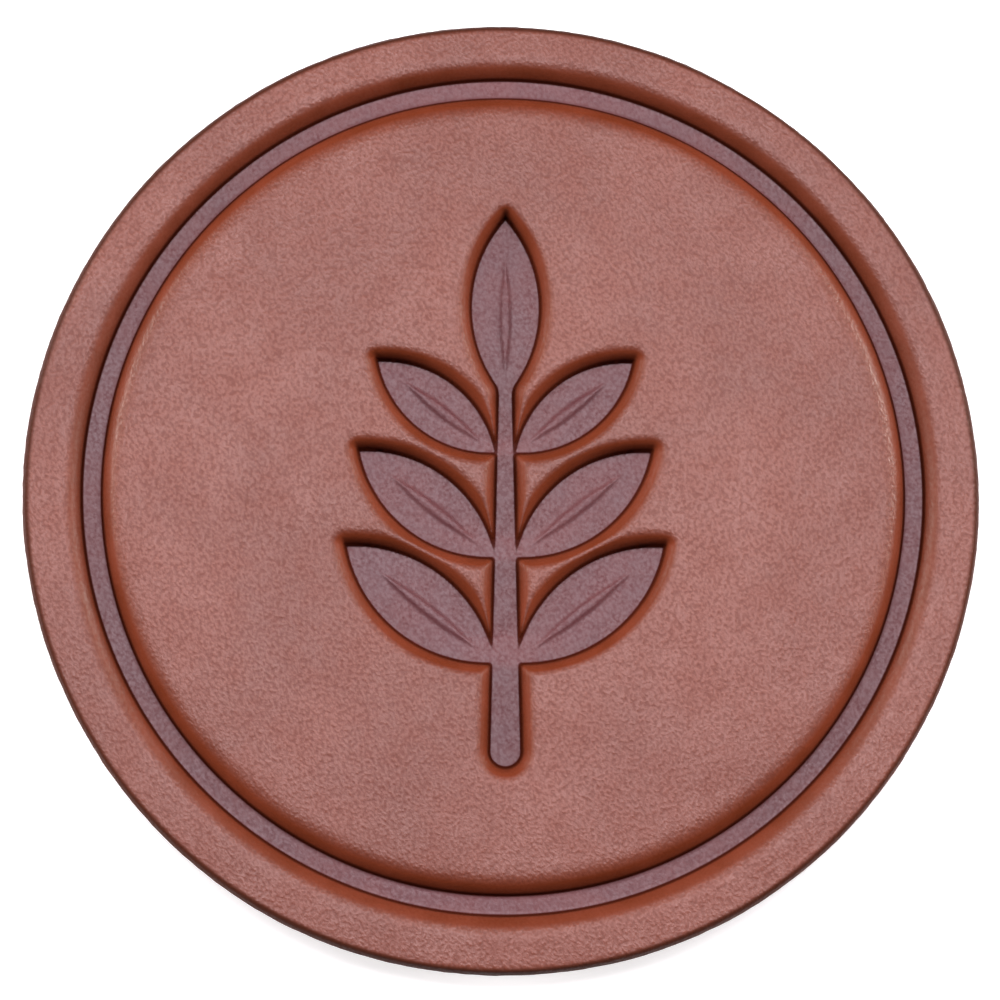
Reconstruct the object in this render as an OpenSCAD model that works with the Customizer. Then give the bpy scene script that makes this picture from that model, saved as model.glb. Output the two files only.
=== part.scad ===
// Round leather coaster: a stamped grain-leather face cemented to a backing leather.
// Millimetres. Origin at the centre of the underside, +Z up, +Y towards the tip of the sprig.

/* [Layers] */
// Diameter over the face, which is the widest layer
disc_d = 100; // [90:1:110]
// Thickness of the grain-leather face
face_t = 3.0; // [2.6:0.1:4]
// Thickness of the cement film between the two leathers
cement_t = 0.1; // [0.05:0.05:0.2]
// Thickness of the backing leather
backing_t = 1.2; // [0.8:0.1:2]
// Radius of the burnished upper corner of the face
face_round = 0.7; // [0.4:0.1:1]
// Radius of the lower corner of the backing
backing_round = 0.3; // [0.1:0.05:0.4]
// How far the cement film stops short of the face's edge
cement_inset = 0.15; // [0.05:0.05:0.3]
// How far the backing stops short of the face's edge
backing_inset = 0.1; // [0:0.05:0.3]

/* [Pressing] */
// Depth of the pressed floors below the grain
press_depth = 1.8; // [1.2:0.1:2.2]
// Share of that depth taken by the steep wall beside a floor
wall_share = 0.15; // [0.1:0.05:0.4]
// How far a steep wall leans back over its height
wall_lean = 0.14; // [0.1:0.02:0.3]
// Width of the rolled shoulder outside the border ring
shoulder_w = 2.8; // [1.6:0.1:3]
// Width of the rolled shoulder inside the border ring
inner_shoulder_w = 3.1; // [1.6:0.1:3.4]
// How sharply a shoulder rolls over; higher is steeper beside the wall and flatter above
shoulder_power = 3.3; // [2:0.1:4]

/* [Border ring] */
// Radius of the middle of the ring's floor, as a share of the face's radius
ring_share = 0.861; // [0.84:0.001:0.88]
// Width of the ring's floor
ring_w = 2.1; // [1.5:0.1:2.6]

/* [Sprig] */
// Height of the sprig from the stem's foot to the tip of the top leaf
sprig_h = 58; // [54:0.5:60]
// Width of the stem at its foot
stem_foot_w = 3.4; // [2.4:0.1:4]
// Width of the stem where the top leaf begins
stem_tip_w = 1.6; // [1.2:0.1:2.2]
// Length of each leaf of the lowest pair
leaf_l = 20; // [17:0.5:21]
// Greatest width of a leaf of the lowest pair
leaf_w = 7.6; // [6:0.1:8]
// Angle between the stem and a paired leaf
leaf_angle = 52; // [46:1:56]
// Greatest width of the raised rib in a leaf
rib_w = 1.4; // [0.8:0.1:1.8]
// How far a rib's crest stands above the pressed floor
rib_h = 0.25; // [0.15:0.05:0.5]

/* [Hidden] */
$fn = 96;

face_r = disc_d / 2;
cement_z = backing_t;
face_z = cement_z + cement_t;
top_z = face_z + face_t;
floor_z = top_z - press_depth;
over = 0.5;                     // how far a cutting shape reaches above the grain
arc_steps = 6;                  // straight steps along a rounded corner
shoulder_steps = 10;            // straight steps along a shoulder

wall_h = press_depth * wall_share;
ring_r = face_r * ring_share;
ring_in = ring_r - ring_w / 2;
ring_out = ring_r + ring_w / 2;

stem_low = -sprig_h / 2;        // height of the stem's foot, with the sprig centred
top_leaf_scale = 0.97;          // length of the top leaf, against the lowest pair
top_leaf_y = sprig_h / 2 - leaf_l * top_leaf_scale;
pair_y = [-19, -8, 3];          // height of each leaf pair's joint with the stem
pair_scale = [1, 0.92, 0.8];    // size of each leaf pair, against the lowest
leaf_foot = 1.2;                // distance of a paired leaf's foot from that joint
rib_share = 0.66;               // length of a rib, as a share of its leaf's
rib_start = 0.12;               // where a rib begins, as a share of its leaf's length

// Points of a quarter of an ellipse about c, from angle a0 to a1 in degrees.
function arc(c, rx, ry, a0, a1) = [
    for (i = [0 : arc_steps])
        let (a = a0 + (a1 - a0) * i / arc_steps)
            c + [rx * cos(a), ry * sin(a)]
];

// Points of a shoulder from r0 to r0 + w in radius, from the top of a wall up to the grain.
function shoulder(r0, w) = [
    for (i = [0 : shoulder_steps])
        let (t = i / shoulder_steps, climb = 1 - pow(1 - t, shoulder_power))
            [r0 + w * t, floor_z + wall_h + (press_depth - wall_h) * climb]
];

// Pointed leaf with its foot at the origin and its tip on +Y.
module leaf(l, w) {
    r = (l * l + w * w) / (4 * w);
    translate([0, l / 2])
        intersection() {
            translate([r - w / 2, 0]) circle(r);
            translate([w / 2 - r, 0]) circle(r);
        }
}

// The blade of a leaf at the given scale, or its rib.
module leaf_part(scale, rib) {
    l = leaf_l * scale;
    if (rib)
        translate([0, l * rib_start]) leaf(l * rib_share, rib_w);
    else
        leaf(l, leaf_w * scale);
}

// The blades of every leaf of the sprig, or their ribs.
module leaves(rib = false) {
    for (side = [-1, 1], i = [0 : len(pair_y) - 1])
        translate([0, pair_y[i]])
            rotate(-side * leaf_angle)
                translate([0, leaf_foot]) leaf_part(pair_scale[i], rib);
    translate([0, top_leaf_y]) leaf_part(top_leaf_scale, rib);
}

// The stem, with a round foot, narrowing into the foot of the top leaf.
module stem() {
    polygon([
        [-stem_foot_w / 2, stem_low + stem_foot_w / 2],
        [stem_foot_w / 2, stem_low + stem_foot_w / 2],
        [stem_tip_w / 2, top_leaf_y + 1],
        [-stem_tip_w / 2, top_leaf_y + 1]
    ]);
    translate([0, stem_low + stem_foot_w / 2]) circle(d = stem_foot_w);
}

// What the die presses out of the face for the sprig: everywhere down to the
// ribs' crests, and down to the floor except under the ribs.
module sprig_cut() {
    translate([0, 0, floor_z + rib_h])
        linear_extrude(press_depth - rib_h + over) {
            leaves();
            stem();
        }
    translate([0, 0, floor_z])
        linear_extrude(rib_h + over)
            difference() {
                union() {
                    leaves();
                    stem();
                }
                leaves(rib = true);
            }
}

// What the die presses out of the face for the border ring: a flat floor,
// a steep wall on each side, and a shoulder that rolls up to the grain.
module ring_cut() {
    outer = shoulder(ring_out + wall_lean, shoulder_w);
    inner = shoulder(ring_in - wall_lean, -inner_shoulder_w);
    rotate_extrude(convexity = 4)
        polygon(concat(
            [[ring_in, floor_z], [ring_out, floor_z]],
            outer,
            [[ring_out + wall_lean + shoulder_w, top_z + over],
             [ring_in - wall_lean - inner_shoulder_w, top_z + over]],
            [for (i = [shoulder_steps : -1 : 0]) inner[i]]
        ));
}

// Stamped face: its upper corner is burnished round, its lower corner is cut square.
module face_leather() {
    corner = [face_r - face_round, top_z - face_round];
    color("#a86f67")
        difference() {
            rotate_extrude(convexity = 4)
                polygon(concat(
                    [[0, face_z], [face_r, face_z]],
                    arc(corner, face_round, face_round, 0, 90),
                    [[0, top_z]]
                ));
            ring_cut();
            sprig_cut();
        }
}

// Film of contact cement that joins the two leathers.
module cement_film() {
    color("#5a4636")
        translate([0, 0, cement_z]) cylinder(r = face_r - cement_inset, h = cement_t);
}

// Backing leather, suede side down, with its lower corner sanded round.
module backing_leather() {
    r = face_r - backing_inset;
    corner = [r - backing_round, backing_round];
    color("#b08c70")
        rotate_extrude(convexity = 4)
            polygon(concat(
                [[0, 0]],
                arc(corner, backing_round, backing_round, -90, 0),
                [[r, backing_t], [0, backing_t]]
            ));
}

face_leather();
cement_film();
backing_leather();
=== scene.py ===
"""Looks of a stamped leather coaster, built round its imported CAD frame.

Shapes are worked out in millimetres and written to the meshes in metres. Heights in the
profiles are counted from the grain surface, which is the top of the face leather.
"""

import bpy
import numpy as np
from mathutils import Matrix, Vector
from mathutils.geometry import delaunay_2d_cdt


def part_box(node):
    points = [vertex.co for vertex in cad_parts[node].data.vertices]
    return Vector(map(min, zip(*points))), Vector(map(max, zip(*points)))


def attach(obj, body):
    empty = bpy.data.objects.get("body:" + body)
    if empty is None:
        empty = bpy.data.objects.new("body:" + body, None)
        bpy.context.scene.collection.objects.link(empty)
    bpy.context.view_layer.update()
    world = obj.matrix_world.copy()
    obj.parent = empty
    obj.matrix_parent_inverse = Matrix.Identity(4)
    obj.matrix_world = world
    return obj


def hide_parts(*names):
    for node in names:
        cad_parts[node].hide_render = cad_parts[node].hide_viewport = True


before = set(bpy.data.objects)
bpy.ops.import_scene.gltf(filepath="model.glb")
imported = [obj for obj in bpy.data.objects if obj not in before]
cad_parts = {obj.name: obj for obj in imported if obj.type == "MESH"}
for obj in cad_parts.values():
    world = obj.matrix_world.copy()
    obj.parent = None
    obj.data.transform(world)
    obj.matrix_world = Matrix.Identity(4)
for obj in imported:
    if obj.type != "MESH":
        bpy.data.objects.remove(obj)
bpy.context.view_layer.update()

MM = 0.001


# ---------------------------------------------------------------- sizes from the frame

def node_sizes(node):
    """Radius, lowest and highest point of a round CAD node, in millimetres."""
    low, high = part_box(node)
    return (high.x - low.x) / 2 / MM, low.z / MM, high.z / MM


FACE_R, FACE_LOW, TOP = node_sizes("face_leather")
CEMENT_R, CEMENT_LOW, CEMENT_HIGH = node_sizes("cement_film")
BACKING_R, BACKING_LOW, BACKING_HIGH = node_sizes("backing_leather")

# The pressing has the CAD face's depth, walls and shoulders. A shoulder also rolls over
# beside the sprig, and the die landed a little off the disc's centre.
PRESS_DEPTH = 1.8
WALL_W = 0.14
WALL_SHARE = 0.15
SHOULDER_W = 2.8
INNER_SHOULDER_W = 3.1
SPRIG_SHOULDER_W = 2.1
SHOULDER_POWER = 3.3
RING_R = 0.861 * FACE_R
RING_W = 2.1
DIE_X = 0.15
DIE_Y = 0.18

# The sprig, which is the CAD face's own.
SPRIG_H = 58
STEM_FOOT_W = 3.4
STEM_TIP_W = 1.6
LEAF_L = 20
LEAF_W = 7.6
LEAF_ANGLE = 52
LEAF_FOOT = 1.2
TOP_LEAF_SCALE = 0.97
PAIR_Y = (-19, -8, 3)
PAIR_SCALE = (1, 0.92, 0.8)
RIB_W = 1.4
RIB_H = 0.25
RIB_SHARE = 0.66
RIB_START = 0.12

# The mesh: points round the disc, where its rows give way to the lattice of the field inside
# them, the lattice's finest step, and how far inside a floor's edge its steep wall has its foot.
STEPS_ROUND = 720
INNER_R = RING_R - RING_W / 2 - WALL_W - INNER_SHOULDER_W - 0.3
FINE_STEP = 0.15
WALL_FOOT = -0.12


# ---------------------------------------------------------------- smooth noise

def soft_noise(x, y, size, seed):
    """Smooth noise from -1 to 1 at points x, y, with bumps about `size` across."""
    cells = np.random.default_rng(seed).uniform(-1, 1, (256, 256))
    u = x / size + 128
    v = y / size + 128
    i = np.floor(u).astype(int)
    j = np.floor(v).astype(int)
    fu = u - i
    fv = v - j
    fu = fu * fu * (3 - 2 * fu)
    fv = fv * fv * (3 - 2 * fv)
    near = cells[i % 256, j % 256] * (1 - fu) + cells[(i + 1) % 256, j % 256] * fu
    far = cells[i % 256, (j + 1) % 256] * (1 - fu) + cells[(i + 1) % 256, (j + 1) % 256] * fu
    return near * (1 - fv) + far * fv


def smooth(low, high, value):
    """0 below low, 1 above high, and a smooth rise between them."""
    t = np.clip((value - low) / (high - low), 0, 1)
    return t * t * (3 - 2 * t)


# ---------------------------------------------------------------- the pressed shapes

def leaf_distance(x, y, length, width):
    """Signed distance to a pointed leaf with its foot at the origin and its tip on +Y."""
    radius = (length * length + width * width) / (4 * width)
    centre = radius - width / 2
    half = length / 2
    x = np.abs(x)
    y = np.abs(y - half)
    past_tip = (y - half) * centre > x * half
    return np.where(past_tip, np.hypot(x, y - half), np.hypot(x + centre, y) - radius)


def leaf_frames():
    """For each leaf: the height of its joint, its turn in degrees, its foot's gap, its scale."""
    for y, scale in zip(PAIR_Y, PAIR_SCALE):
        for side in (-1, 1):
            yield y, side * LEAF_ANGLE, LEAF_FOOT, scale
    yield SPRIG_H / 2 - LEAF_L * TOP_LEAF_SCALE, 0, 0, TOP_LEAF_SCALE


def each_leaf(x, y, shape):
    """The least of shape(u, v, scale) over all leaves, where v runs up each leaf's middle."""
    least = np.full(x.shape, 1e3)
    for joint_y, turn, foot, scale in leaf_frames():
        a = np.radians(turn)
        u = x * np.cos(a) - (y - joint_y) * np.sin(a)
        v = x * np.sin(a) + (y - joint_y) * np.cos(a) - foot
        least = np.minimum(least, shape(u, v, scale))
    return least


def stem_distance(x, y):
    """Signed distance to the stem, which is round-ended and narrows upwards."""
    low = -SPRIG_H / 2 + STEM_FOOT_W / 2
    high = SPRIG_H / 2 - LEAF_L * TOP_LEAF_SCALE + 1
    t = np.clip((y - low) / (high - low), 0, 1)
    half_w = (STEM_FOOT_W + (STEM_TIP_W - STEM_FOOT_W) * t) / 2
    return np.hypot(x, y - low - t * (high - low)) - half_w


def blend_least(a, b, reach):
    """The lesser of two distances, with the corner between them rounded over `reach`."""
    t = np.clip(0.5 + 0.5 * (b - a) / reach, 0, 1)
    return b + (a - b) * t - reach * t * (1 - t)


def sprig_distance(x, y):
    """Signed distance to the edge of the sprig's pressed floor."""
    blades = each_leaf(x, y, lambda u, v, k: leaf_distance(u, v, LEAF_L * k, LEAF_W * k))
    return blend_least(blades, stem_distance(x, y), 0.5)


def rib_distance(x, y):
    """Signed distance to the foot of the nearest leaf rib."""
    ribs = each_leaf(x, y, lambda u, v, k: leaf_distance(
        u, v - LEAF_L * k * RIB_START, LEAF_L * k * RIB_SHARE, RIB_W))
    return np.maximum(ribs, -stem_distance(x, y) - 0.1)


def ring_distance(x, y):
    """Signed distance to the edge of the border ring's floor."""
    return np.abs(np.hypot(x, y) - RING_R) - RING_W / 2


def pressed(distance, shoulder):
    """Height at a signed distance from a floor's edge: floor, steep wall, rolled shoulder."""
    wall = smooth(WALL_FOOT, WALL_W, distance) * WALL_SHARE
    t = np.clip(distance / shoulder, 0, 1)
    roll = (1 - (1 - t) ** SHOULDER_POWER) * (1 - WALL_SHARE)
    return -PRESS_DEPTH * (1 - wall - roll)


def floor_edge(x, y):
    """Signed distance to the edge of the nearest pressed floor, up to 3 mm either way."""
    x = x - DIE_X
    y = y - DIE_Y
    return np.clip(np.minimum(ring_distance(x, y), sprig_distance(x, y)), -3, 3)


def grain_height(x, y):
    """Height of the stamped grain surface, for points inside the disc's rim."""
    x = x - DIE_X
    y = y - DIE_Y
    ring = ring_distance(x, y)
    sprig = sprig_distance(x, y)
    inside_ring = smooth(0.5, -0.5, np.hypot(x, y) - RING_R)
    ring_shoulder = SHOULDER_W + (INNER_SHOULDER_W - SHOULDER_W) * inside_ring
    ring_shoulder = ring_shoulder * (1 + 0.1 * soft_noise(x, y, 9, 3))
    sprig_shoulder = SPRIG_SHOULDER_W * (1 + 0.12 * soft_noise(x, y, 6, 4))
    height = np.minimum(pressed(ring, ring_shoulder), pressed(sprig, sprig_shoulder))
    rib = smooth(0.15, -RIB_W / 2, rib_distance(x, y)) * RIB_H
    height = height + rib * smooth(-0.2, -0.6, sprig)
    open_grain = smooth(-0.3, 2.5, np.minimum(ring, sprig))
    swell = 0.07 * soft_noise(x, y, 21, 5) + 0.025 * soft_noise(x, y, 7, 6)
    pebble = 0.012 * soft_noise(x, y, 1.9, 7) + 0.008 * soft_noise(x, y, 1.1, 8)
    floor_dents = 0.012 * soft_noise(x, y, 2.6, 9)
    return height + swell + pebble * open_grain + floor_dents * (1 - open_grain)


def edge_wobble(angle):
    """How far the cut edge strays from a true circle, in millimetres."""
    x, y = 9 * np.cos(angle), 9 * np.sin(angle)
    return 0.11 * soft_noise(x, y, 4.5, 11) + 0.03 * soft_noise(x, y, 1.1, 12)


# ---------------------------------------------------------------- mesh helpers

def circle_points(radius, height, angles):
    """Points in millimetres on a circle; radius and height may vary with the angle."""
    ones = np.ones_like(angles)
    return np.stack([radius * np.cos(angles), radius * np.sin(angles), height * ones], axis=1)


def faces_between(rows):
    """Faces that join closed rows of points, each row to the next, and close off the last."""
    i = np.arange(STEPS_ROUND)
    j = (i + 1) % STEPS_ROUND
    faces = []
    for row in range(len(rows) - 1):
        first = row * STEPS_ROUND
        second = first + STEPS_ROUND
        faces += np.stack([first + i, second + i, second + j, first + j], axis=1).tolist()
    last = (len(rows) - 1) * STEPS_ROUND
    faces.append(list(range(last + STEPS_ROUND - 1, last - 1, -1)))
    return faces


def closed_mesh(rows):
    """Points and faces of a closed shape from its rows of points, top to bottom."""
    return np.concatenate(rows), [list(range(STEPS_ROUND))] + faces_between(rows)


def new_piece(name, points, faces, material, node, slot):
    """A mesh piece from points in millimetres that replaces a CAD node and rides on the root."""
    mesh = bpy.data.meshes.new(name)
    mesh.from_pydata((points * MM).tolist(), [], faces)
    mesh.validate()
    mesh.polygons.foreach_set("use_smooth", [True] * len(mesh.polygons))
    mesh.materials.append(material)
    piece = bpy.data.objects.new(name, mesh)
    bpy.context.scene.collection.objects.link(piece)
    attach(piece, "root")
    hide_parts(node)
    return piece


# ---------------------------------------------------------------- face leather

def inner_points():
    """Points of the field inside the ring: a triangular lattice, fine beside the sprig.

    Points near the foot and the top of a steep wall are moved onto that line, so that the
    mesh follows the sprig's outline. The sprig is centred here, before the die's offset.
    """
    count = int(INNER_R / FINE_STEP) + 2
    i, j = np.meshgrid(np.arange(-2 * count, 2 * count), np.arange(-2 * count, 2 * count))
    x = (i + 0.5 * j) * FINE_STEP
    y = j * FINE_STEP * np.sqrt(3) / 2
    keep = np.hypot(x, y) < INNER_R - 0.25
    i, j, x, y = i[keep], j[keep], x[keep], y[keep]
    distance = sprig_distance(x, y)
    rib = rib_distance(x, y)
    fine = (np.abs(distance) < 0.65) | (np.abs(rib) < 0.4)
    middle = (np.abs(distance) < 2.4) & (i % 2 == 0) & (j % 2 == 0)
    coarse = (i % 4 == 0) & (j % 4 == 0)
    keep = fine | middle | coarse
    x, y, distance = x[keep], y[keep], distance[keep]
    step = 0.01
    slope_x = (sprig_distance(x + step, y) - distance) / step
    slope_y = (sprig_distance(x, y + step) - distance) / step
    steep = np.maximum(np.hypot(slope_x, slope_y), 0.5)
    for level in (WALL_FOOT, WALL_W):
        near = np.abs(distance - level) < FINE_STEP * 0.6
        move = np.where(near, (level - distance) / steep, 0)
        x = x + move * slope_x / steep
        y = y + move * slope_y / steep
    cell = np.round(np.stack([x, y], axis=1) / (FINE_STEP * 0.5)).astype(int)
    _, one_per_cell = np.unique(cell, axis=0, return_index=True)
    return x[one_per_cell], y[one_per_cell]


def rim_profile():
    """Radius inset and height of the rim, from the top surface to the foot of the cut edge.

    The burnished corner rolls down to a tight crease, and the raw cut edge stands out
    again below it.
    """
    corner = [(1.0 - 0.72 * np.sin(a), -0.5 * (1 - np.cos(a)))
              for a in np.linspace(0.15, 0.85, 7) * np.pi / 2]
    crease = [(0.2, -0.55), (0.15, -0.7)]
    raw = [(0.14 - 0.14 * np.sin(a), -0.8 - 0.6 * (1 - np.cos(a)))
           for a in np.linspace(0.2, 1, 5) * np.pi / 2]
    face_t = TOP - FACE_LOW
    wall = [(0.02, -height) for height in np.linspace(1.45, face_t - 0.2, 6)]
    return corner + crease + raw + wall + [(0.06, -face_t + 0.06), (0.2, -face_t)]


def band_radii():
    """Radii of the rows from the field to the rim, close together at the ring's walls."""
    inner_wall = RING_R - RING_W / 2
    outer_wall = RING_R + RING_W / 2
    return np.concatenate([
        np.linspace(INNER_R, inner_wall - WALL_W - 0.15, 13),
        np.linspace(inner_wall - WALL_W, inner_wall + 0.12, 6),
        np.linspace(inner_wall + 0.5, outer_wall - 0.5, 3),
        np.linspace(outer_wall - 0.12, outer_wall + WALL_W, 6),
        np.linspace(outer_wall + WALL_W + 0.15, FACE_R - 1.1, 14),
    ])


def face_mesh():
    """Points and faces of the face leather, with the grain surface pressed by the die."""
    angles = np.arange(STEPS_ROUND) * 2 * np.pi / STEPS_ROUND
    wobble = edge_wobble(angles)
    rows = []
    for radius in band_radii():
        share = smooth(RING_R + 2, FACE_R - 1, radius)
        ring = circle_points(radius + wobble * share, 0, angles)
        ring[:, 0] += DIE_X * (1 - share)
        ring[:, 1] += DIE_Y * (1 - share)
        ring[:, 2] = TOP + grain_height(ring[:, 0], ring[:, 1])
        rows.append(ring)
    for inset, height in rim_profile():
        ring = circle_points(FACE_R - inset + wobble, 0, angles)
        swell = 0.5 * grain_height(ring[:, 0], ring[:, 1]) * smooth(-2.5, -0.3, height)
        raw = smooth(-0.5, -0.8, height) * smooth(FACE_LOW - TOP, FACE_LOW - TOP + 0.3, height)
        arc = angles * FACE_R
        shag = 0.03 * soft_noise(arc, height * 3 + 0 * arc, 0.9, 13)
        shag = shag + 0.02 * soft_noise(arc, height * 6 + 0 * arc, 0.45, 14)
        ring[:, :2] *= (1 + raw * shag / FACE_R)[:, None]
        ring[:, 2] = TOP + height + swell
        rows.append(ring)
    points = np.concatenate(rows)
    faces = faces_between(rows)

    x, y = inner_points()
    x = x + DIE_X
    y = y + DIE_Y
    flat = np.concatenate([rows[0][:, :2], np.stack([x, y], axis=1)])
    _, _, triangles, _, _, _ = delaunay_2d_cdt([Vector(p) for p in flat.tolist()], [], [], 0, 1e-7)
    inner = np.stack([x, y, TOP + grain_height(x, y)], axis=1)
    shift = len(points) - STEPS_ROUND
    for triangle in triangles:
        faces.append([k if k < STEPS_ROUND else k + shift for k in triangle])
    return np.concatenate([points, inner]), faces


# ---------------------------------------------------------------- cement and backing

def cement_mesh():
    """A thin film whose edge shows between the leathers, squeezed out unevenly."""
    angles = np.arange(STEPS_ROUND) * 2 * np.pi / STEPS_ROUND
    arc = angles * FACE_R
    squeeze = 0.05 * soft_noise(arc, 0 * arc, 2.3, 21) + 0.03 * soft_noise(arc, 0 * arc, 0.8, 22)
    edge = CEMENT_R + edge_wobble(angles) + squeeze
    middle = (CEMENT_LOW + CEMENT_HIGH) / 2
    rows = [
        circle_points(edge - 1.5, CEMENT_HIGH, angles),
        circle_points(edge - 0.06, CEMENT_HIGH, angles),
        circle_points(edge, middle, angles),
        circle_points(edge - 0.06, CEMENT_LOW, angles),
        circle_points(edge - 1.5, CEMENT_LOW, angles),
    ]
    return closed_mesh(rows)


def backing_mesh():
    """The suede backing: a shaggy cut edge, a sanded lower corner and a napped underside."""
    angles = np.arange(STEPS_ROUND) * 2 * np.pi / STEPS_ROUND
    arc = angles * FACE_R
    wobble = edge_wobble(angles)
    thick = BACKING_HIGH - BACKING_LOW
    edge = [(0.15, thick), (0.03, thick - 0.08)]
    edge += [(0, height) for height in np.linspace(thick - 0.25, 0.35, 5)]
    edge += [(0.3 * (1 - np.cos(a)), 0.3 * (1 - np.sin(a)))
             for a in np.linspace(0.2, 1, 5) * np.pi / 2]
    rows = []
    for inset, height in edge:
        shag = 0.06 * soft_noise(arc, height * 3 + 0 * arc, 0.8, 31)
        shag = shag + 0.04 * soft_noise(arc, height * 5 + 0 * arc, 0.4, 32)
        rows.append(circle_points(BACKING_R - inset + wobble + shag, BACKING_LOW + height, angles))
    for radius in np.linspace(BACKING_R - 0.8, 1, 60):
        ring = circle_points(radius, BACKING_LOW, angles)
        nap = soft_noise(ring[:, 0], ring[:, 1], 1.6, 33)
        nap = nap + 0.6 * soft_noise(ring[:, 0], ring[:, 1], 0.8, 34)
        ring[:, 2] += 0.03 * np.clip(nap + 1, 0, 2)
        rows.append(ring)
    return closed_mesh(rows)


# ---------------------------------------------------------------- material helpers

class Nodes:
    """A short way to add and link a material's nodes."""

    def __init__(self, name):
        self.material = bpy.data.materials.new(name)
        self.material.use_nodes = True
        self.tree = self.material.node_tree
        self.shader = self.tree.nodes["Principled BSDF"]
        coords = self.add("ShaderNodeTexCoord")
        self.place = coords.outputs["Object"]

    def add(self, kind, **settings):
        node = self.tree.nodes.new(kind)
        for key, value in settings.items():
            setattr(node, key, value)
        return node

    def put(self, socket, value):
        """Sets a socket to a number or colour, or links it to another node's output."""
        if isinstance(value, bpy.types.NodeSocket):
            self.tree.links.new(value, socket)
        else:
            socket.default_value = value

    def math(self, operation, a, b):
        node = self.add("ShaderNodeMath", operation=operation)
        self.put(node.inputs[0], a)
        self.put(node.inputs[1], b)
        return node.outputs[0]

    def less(self, value, share):
        """The value times one less the share."""
        return self.math("MULTIPLY", value, self.math("SUBTRACT", 1.0, share))

    def ramp(self, value, low, high, out_low=0.0, out_high=1.0):
        """A smooth step from out_low at low to out_high at high."""
        node = self.add("ShaderNodeMapRange", interpolation_type="SMOOTHSTEP")
        for socket, given in zip(node.inputs, (value, low, high, out_low, out_high)):
            self.put(socket, given)
        return node.outputs[0]

    def mix(self, share, first, second):
        """Two colours mixed by a share, which may be a number or an output."""
        node = self.add("ShaderNodeMix", data_type="RGBA")
        self.put(node.inputs[0], share)
        self.put(node.inputs[6], first)
        self.put(node.inputs[7], second)
        return node.outputs[2]

    def stretched(self, scale, turn=0.0):
        """Coordinates whose axes are turned about Z, and then stretched by the given factors."""
        node = self.add("ShaderNodeMapping", vector_type="TEXTURE")
        self.put(node.inputs["Vector"], self.place)
        node.inputs["Scale"].default_value = scale
        node.inputs["Rotation"].default_value = (0, 0, turn)
        return node.outputs[0]

    def noise(self, size_mm, detail, roughness, place=None):
        """Perlin noise, 0 to 1, with bumps about size_mm across."""
        node = self.add("ShaderNodeTexNoise")
        self.put(node.inputs["Vector"], place or self.place)
        node.inputs["Scale"].default_value = 1 / (size_mm * MM)
        node.inputs["Detail"].default_value = detail
        node.inputs["Roughness"].default_value = roughness
        return node.outputs["Fac"]

    def cells(self, size_mm, place):
        """Distance from the middles of round-edged cells, as a share of their size, size_mm."""
        node = self.add("ShaderNodeTexVoronoi", feature="SMOOTH_F1")
        self.put(node.inputs["Vector"], place)
        node.inputs["Scale"].default_value = 1 / (size_mm * MM)
        return node.outputs["Distance"]

    def axes(self, vector):
        """The X, Y and Z of a vector."""
        node = self.add("ShaderNodeSeparateXYZ")
        self.put(node.inputs[0], vector)
        return node.outputs

    def radius(self):
        """Distance from the disc's axis."""
        x, y, _ = self.axes(self.place)
        flat = self.add("ShaderNodeCombineXYZ")
        self.put(flat.inputs["X"], x)
        self.put(flat.inputs["Y"], y)
        length = self.add("ShaderNodeVectorMath", operation="LENGTH")
        self.put(length.inputs[0], flat.outputs[0])
        return length.outputs["Value"]

    def bump(self, height, distance_mm, strength=1.0, normal=None):
        """A bump whose full height is distance_mm."""
        node = self.add("ShaderNodeBump")
        self.put(node.inputs["Height"], height)
        node.inputs["Distance"].default_value = distance_mm * MM
        self.put(node.inputs["Strength"], strength)
        if normal:
            self.put(node.inputs["Normal"], normal)
        return node.outputs[0]


def linear(red, green, blue):
    """A colour given as sRGB bytes, in the linear values that shaders use."""
    def one(c):
        c = c / 255
        return c / 12.92 if c <= 0.04045 else ((c + 0.055) / 1.055) ** 2.4
    return one(red), one(green), one(blue), 1.0


# ---------------------------------------------------------------- materials

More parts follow.
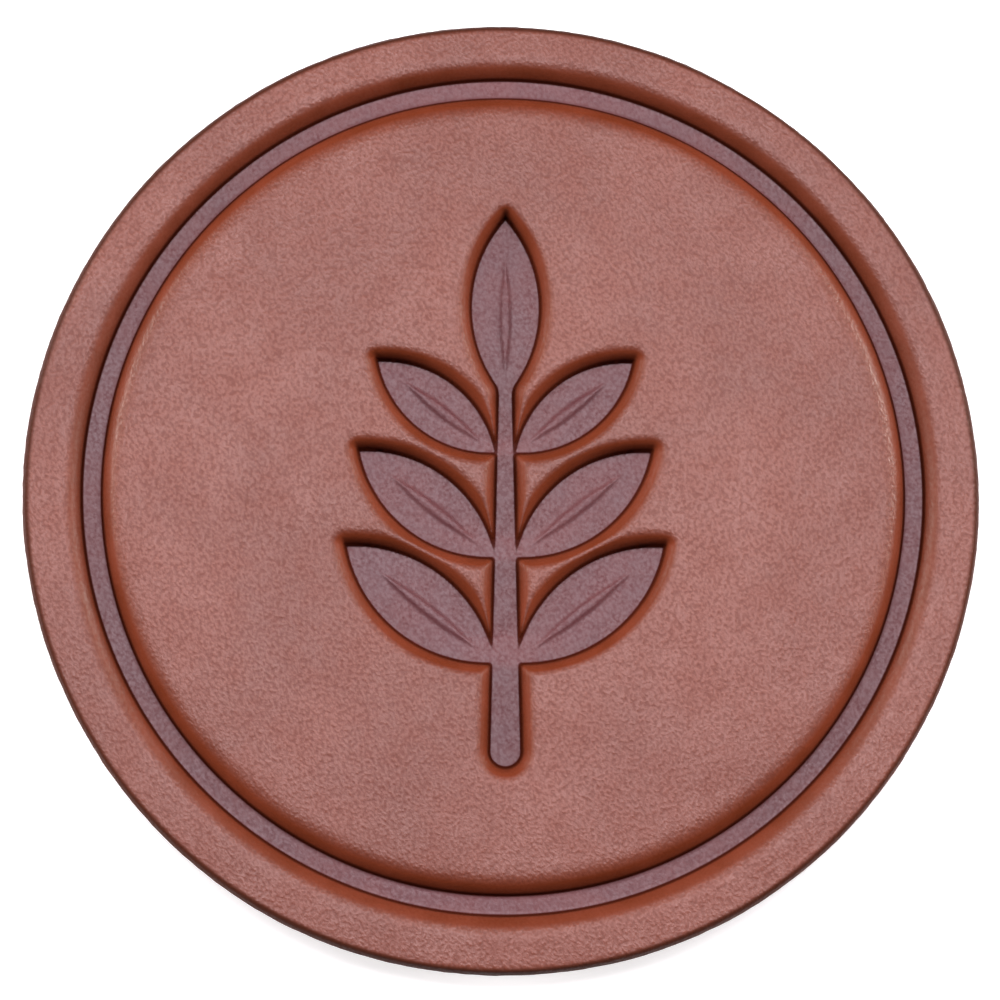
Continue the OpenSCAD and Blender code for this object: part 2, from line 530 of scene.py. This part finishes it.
def grain_leather():
    """Full-grain leather: pebbled field, burnished shoulders, dark smooth pressed floors."""
    n = Nodes("grain_leather")

    # Where a point is: on the rim, on a floor, in the crease at a floor's edge, on a slope.
    # The crease is wider on the inner side of the ring and round the sprig. Its dark colour is partly
    # the darker compressed leather at a wall's foot and partly painted shade in the recess.
    radius = n.radius()
    depth = n.math("SUBTRACT", TOP * MM, n.axes(n.place)["Z"])
    at_rim = n.ramp(radius, (FACE_R - 1.3) * MM, (FACE_R - 0.9) * MM)
    rolled = n.ramp(radius, (FACE_R - 1.05) * MM, (FACE_R - 0.5) * MM)
    raw_edge = n.math("MULTIPLY", n.ramp(depth, 0.756 * MM, 1.116 * MM), at_rim)
    edge = n.add("ShaderNodeAttribute", attribute_name="floor_edge").outputs["Fac"]
    on_floor = n.ramp(edge, -0.1, 0.02, 1.0, 0.0)
    outside = n.ramp(radius, (RING_R - 0.1) * MM, (RING_R + 0.1) * MM)
    reach = n.ramp(outside, 0.0, 1.0, 0.34, 0.22)
    crease = n.math("MULTIPLY", n.ramp(edge, -0.26, -0.08), n.ramp(edge, 0.0, reach, 1.0, 0.0))
    facing_up = n.axes(n.add("ShaderNodeNewGeometry").outputs["Normal"])["Z"]
    on_slope = n.less(n.ramp(facing_up, 0.8, 0.97, 1.0, 0.0), at_rim)

    # Grain: pebbles of about half a millimetre, drawn out a little to one side.
    slanted = n.stretched((1.12, 0.94, 1.0), turn=-1.0)
    fine = n.noise(0.36, 3, 0.6, slanted)
    grain = n.math("SUBTRACT", n.math("MULTIPLY", fine, 1.4), n.cells(0.34, slanted))
    dye = n.noise(16, 4, 0.55)
    patches = n.noise(4.5, 4, 0.62)
    pores = n.ramp(n.noise(0.34, 2, 0.6), 0.48, 0.62)
    pored = n.ramp(n.noise(2.2, 2, 0.5), 0.35, 0.65, 0.3, 1.0)
    pores = n.math("MULTIPLY", pores, pored)
    streaks = n.noise(0.5, 4, 0.65, n.stretched((1.0, 1.0, 0.25)))

    field = n.mix(n.ramp(dye, 0.3, 0.7), linear(99, 45, 29), linear(112, 56, 41))
    field = n.mix(n.ramp(patches, 0.35, 0.7, 0.0, 0.4), field, linear(105, 43, 24))
    field = n.mix(n.ramp(grain, -0.1, 0.55, 0.42, 0.0), field, linear(78, 29, 16))
    slope = n.mix(n.ramp(patches, 0.3, 0.7), linear(95, 40, 21), linear(105, 46, 28))
    floor = n.mix(n.ramp(patches, 0.3, 0.7), linear(81, 40, 45), linear(93, 50, 53))
    floor = n.mix(n.math("MULTIPLY", pores, 0.4), floor, linear(80, 34, 38))
    fibres = n.mix(n.ramp(streaks, 0.3, 0.7), linear(66, 34, 24), linear(112, 68, 50))
    colour = n.mix(on_slope, field, slope)
    colour = n.mix(on_floor, colour, floor)
    # Painted shade: the crease at a floor's edge is darkened, partly as compressed leather and partly as
    # the shade in the recess.
    colour = n.mix(n.math("MULTIPLY", crease, 0.9), colour, linear(52, 17, 8))
    colour = n.mix(rolled, colour, linear(62, 32, 24))
    colour = n.mix(raw_edge, colour, fibres)
    n.put(n.shader.inputs["Base Color"], colour)

    rough = n.ramp(grain, -0.1, 0.6, 0.49, 0.42)
    rough = n.math("ADD", rough, n.ramp(patches, 0.3, 0.7, -0.03, 0.04))
    rough = n.math("ADD", rough, n.math("MULTIPLY", n.math("MULTIPLY", on_floor, pores), 0.1))
    for place, more in ((raw_edge, 0.1), (on_floor, 0.03), (on_slope, 0.04)):
        rough = n.math("ADD", rough, n.math("MULTIPLY", place, more))
    n.put(n.shader.inputs["Roughness"], rough)

    # Burnished and creased leather hardly shines, and shoulders shine less than the grain.
    at_edge = n.math("MAXIMUM", n.math("MAXIMUM", rolled, raw_edge), crease)
    shine = n.ramp(grain, -0.1, 0.6, 0.52, 0.72)
    shine = n.math("MULTIPLY", shine, n.ramp(at_edge, 0.0, 1.0, 1.0, 0.05))
    shine = n.less(shine, n.math("MULTIPLY", on_slope, n.ramp(outside, 0.0, 1.0, 0.8, 0.45)))
    shine = n.less(shine, n.math("MULTIPLY", on_floor, 0.08))
    n.put(n.shader.inputs["Specular IOR Level"], shine)

    pressed_flat = n.math("MAXIMUM", on_floor, on_slope)
    open_grain = n.math("SUBTRACT", 1.0, n.math("MULTIPLY", pressed_flat, 0.7))
    normal = n.bump(patches, 0.08, 0.5)
    normal = n.bump(grain, 0.045, open_grain, normal)
    normal = n.bump(streaks, 0.2, raw_edge, normal)
    n.put(n.shader.inputs["Normal"], normal)
    return n.material


def contact_cement():
    """Dried contact cement: dark amber and slightly glossy, with lumps."""
    n = Nodes("contact_cement")
    lumps = n.noise(0.6, 3, 0.6)
    colour = n.mix(n.ramp(lumps, 0.3, 0.7), linear(58, 40, 28), linear(92, 68, 46))
    n.put(n.shader.inputs["Base Color"], colour)
    n.put(n.shader.inputs["Roughness"], n.ramp(lumps, 0.3, 0.7, 0.35, 0.6))
    n.put(n.shader.inputs["Normal"], n.bump(lumps, 0.05))
    return n.material


def suede():
    """Split suede: a short brushed nap in lighter and darker strokes, its cut edge dyed dark."""
    n = Nodes("suede")
    nap = n.noise(0.25, 4, 0.7, n.stretched((1.0, 2.0, 1.0), turn=0.3))
    strokes = n.noise(7, 3, 0.55, n.stretched((1.0, 2.9, 1.0), turn=-0.2))
    clumps = n.noise(1.2, 3, 0.6)
    colour = n.mix(n.ramp(strokes, 0.3, 0.7), linear(158, 120, 92), linear(184, 146, 114))
    colour = n.mix(n.ramp(nap, 0.35, 0.65, 0.45, 0.0), colour, linear(112, 80, 58))
    dyed = n.mix(n.ramp(nap, 0.35, 0.65), linear(52, 30, 22), linear(84, 52, 38))
    at_edge = n.ramp(n.radius(), (BACKING_R - 0.75) * MM, (BACKING_R - 0.4) * MM)
    colour = n.mix(at_edge, colour, dyed)
    n.put(n.shader.inputs["Base Color"], colour)
    n.put(n.shader.inputs["Roughness"], n.ramp(clumps, 0.3, 0.7, 0.85, 1.0))
    n.shader.inputs["Specular IOR Level"].default_value = 0.25
    n.shader.inputs["Sheen Weight"].default_value = 0.25
    n.shader.inputs["Sheen Roughness"].default_value = 0.5
    normal = n.bump(clumps, 0.12, 0.8)
    n.put(n.shader.inputs["Normal"], n.bump(nap, 0.12, 1.0, normal))
    return n.material


def studio_white():
    """The pale floor: a slightly uneven matt white, which glows so that shadows stay pale."""
    n = Nodes("studio_white")
    colour = n.mix(n.noise(400, 2, 0.5), linear(212, 208, 214), linear(215, 211, 217))
    n.put(n.shader.inputs["Base Color"], colour)
    n.shader.inputs["Roughness"].default_value = 0.9
    n.shader.inputs["Emission Color"].default_value = (1, 1, 1, 1)
    n.shader.inputs["Emission Strength"].default_value = 0.6
    n.shader.inputs["Specular IOR Level"].default_value = 0.1
    return n.material


# ---------------------------------------------------------------- camera, floor, light

# The camera leans TILT off the vertical, towards the compass angle AZIMUTH from -Y. The view is
# VIEW_W wide at the grain surface.
TILT = np.radians(7.8)
AZIMUTH = np.radians(-15.6)
DISTANCE = 260.0
VIEW_W = 104.0
SHIFT = (-0.0045, -0.0114)

FLOOR_HALF = 3.0                # metres
WARM = (1.0, 0.95, 0.9)


def looking(from_point, at_point):
    """The world matrix of a camera or lamp at one point that looks at another, +Y up."""
    back = (from_point - at_point).normalized()
    right = Vector((0, 1, 0)).cross(back).normalized()
    up = back.cross(right)
    turn = Matrix((right, up, back)).transposed().to_4x4()
    return Matrix.Translation(from_point) @ turn


def add_camera():
    data = bpy.data.cameras.new("camera")
    data.sensor_width = 36
    data.lens = data.sensor_width * DISTANCE / VIEW_W
    data.shift_x, data.shift_y = SHIFT
    data.clip_start = 0.01
    camera = bpy.data.objects.new("camera", data)
    bpy.context.scene.collection.objects.link(camera)
    target = Vector((0, 0, TOP * MM))
    back = Vector((np.sin(AZIMUTH) * np.sin(TILT), -np.cos(AZIMUTH) * np.sin(TILT), np.cos(TILT)))
    camera.matrix_world = looking(target + back * DISTANCE * MM, target)
    bpy.context.scene.camera = camera


def add_floor():
    half = FLOOR_HALF
    mesh = bpy.data.meshes.new("floor")
    corners = [(-half, -half, 0), (half, -half, 0), (half, half, 0), (-half, half, 0)]
    mesh.from_pydata(corners, [], [(0, 1, 2, 3)])
    mesh.materials.append(studio_white())
    floor = bpy.data.objects.new("floor", mesh)
    bpy.context.scene.collection.objects.link(floor)


def add_softbox(name, azimuth, elevation, distance, width, height, watts, colour=(1, 1, 1)):
    """A rectangular area lamp that looks at the coaster from a compass angle, sizes in metres."""
    data = bpy.data.lights.new(name, "AREA")
    data.shape = "RECTANGLE"
    data.size = width
    data.size_y = height
    data.energy = watts
    data.color = colour
    lamp = bpy.data.objects.new(name, data)
    bpy.context.scene.collection.objects.link(lamp)
    a, e = np.radians(azimuth), np.radians(elevation)
    place = Vector((np.cos(a) * np.cos(e), np.sin(a) * np.cos(e), np.sin(e))) * distance
    lamp.matrix_world = looking(place, Vector((0, 0, 0)))
    lamp.visible_camera = False
    return lamp


def add_lights():
    """The overhead lamp and the gleams give only sheen, and the key and the fills give none.

    The gleams stand off the X axis, so that the flat grain doesn't mirror one in a low view.
    """
    overhead = add_softbox("overhead", 90, 84, 0.8, 0.9, 0.3, 6.2, (0.99, 0.95, 1.03))
    overhead.visible_diffuse = False
    key = add_softbox("key", 90, 60, 1.6, 2.4, 0.6, 51, (1.0, 0.98, 0.96))
    key.visible_glossy = False
    for side, fill_azimuth, gleam_azimuth in (("left", 180, 159), ("right", 0, 21)):
        fill = add_softbox(side + " fill", fill_azimuth, 7.5, 0.8, 0.5, 0.19, 12.0, WARM)
        fill.visible_glossy = False
        gleam = add_softbox(side + " gleam", gleam_azimuth, 7.5, 0.8, 0.4, 0.19, 9.5, WARM)
        gleam.visible_diffuse = False


def add_surroundings():
    """A room that the camera sees as white, and that lights the coaster only faintly."""
    world = bpy.data.worlds.new("studio")
    world.use_nodes = True
    nodes = world.node_tree.nodes
    links = world.node_tree.links
    sight = nodes.new("ShaderNodeLightPath")
    strength = nodes.new("ShaderNodeMapRange")
    strength.inputs["To Min"].default_value = 0.03
    strength.inputs["To Max"].default_value = 1.0
    links.new(sight.outputs["Is Camera Ray"], strength.inputs["Value"])
    links.new(strength.outputs["Result"], nodes["Background"].inputs["Strength"])
    nodes["Background"].inputs["Color"].default_value = (0.98, 0.97, 1.0, 1)
    bpy.context.scene.world = world


# ---------------------------------------------------------------- the scene

face_points, face_faces = face_mesh()
face = new_piece("grain_face", face_points, face_faces, grain_leather(), "face_leather", "grain_leather")
floor_edges = face.data.attributes.new("floor_edge", "FLOAT", "POINT")
floor_edges.data.foreach_set("value", floor_edge(face_points[:, 0], face_points[:, 1]))
new_piece("cement_line", *cement_mesh(), contact_cement(), "cement_film", "contact_cement")
new_piece("suede_backing", *backing_mesh(), suede(), "backing_leather", "suede")
add_camera()
add_floor()
add_lights()
add_surroundings()
bpy.context.scene.view_settings.view_transform = "Standard"
